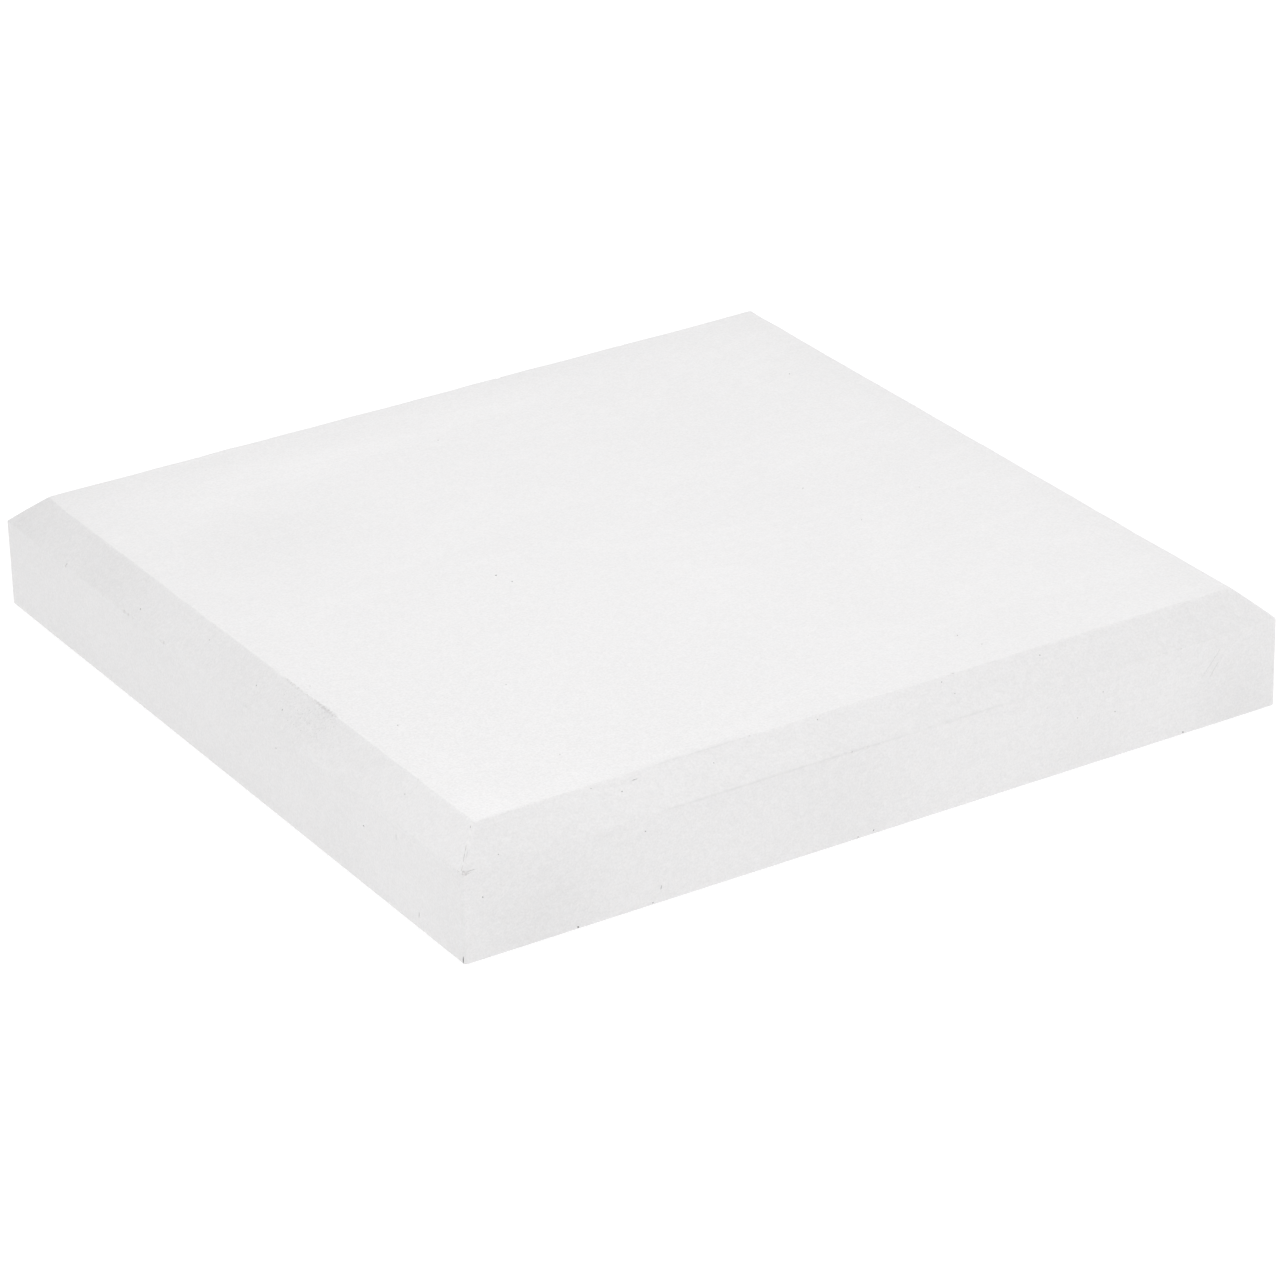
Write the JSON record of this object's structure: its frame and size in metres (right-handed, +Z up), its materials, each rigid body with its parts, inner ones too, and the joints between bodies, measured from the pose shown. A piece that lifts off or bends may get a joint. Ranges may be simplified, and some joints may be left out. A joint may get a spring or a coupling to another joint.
{
  "type": "granite slab",
  "caption": "Square white stone slab with a bevelled top rim, on thin round rubber feet: a flat, heavy base for tooling, stamping and punching leather.",
  "frame": {"origin": "on the bench, under the middle of the slab", "axes": "+Z up, out of the work surface; +X and +Y along the slab's equal sides, with the front edge on the -Y side"},
  "size_m": [0.2286, 0.2286, 0.0326],
  "materials": {
    "white_stone": "polished top, honed bevels and sides",
    "grey_rubber": "matte"
  },
  "bodies": {
    "root": {"stone_slab": "white_stone", "foot_front_left": "grey_rubber", "foot_front_right": "grey_rubber", "foot_back_left": "grey_rubber", "foot_back_right": "grey_rubber"}
  },
  "joints": []
}
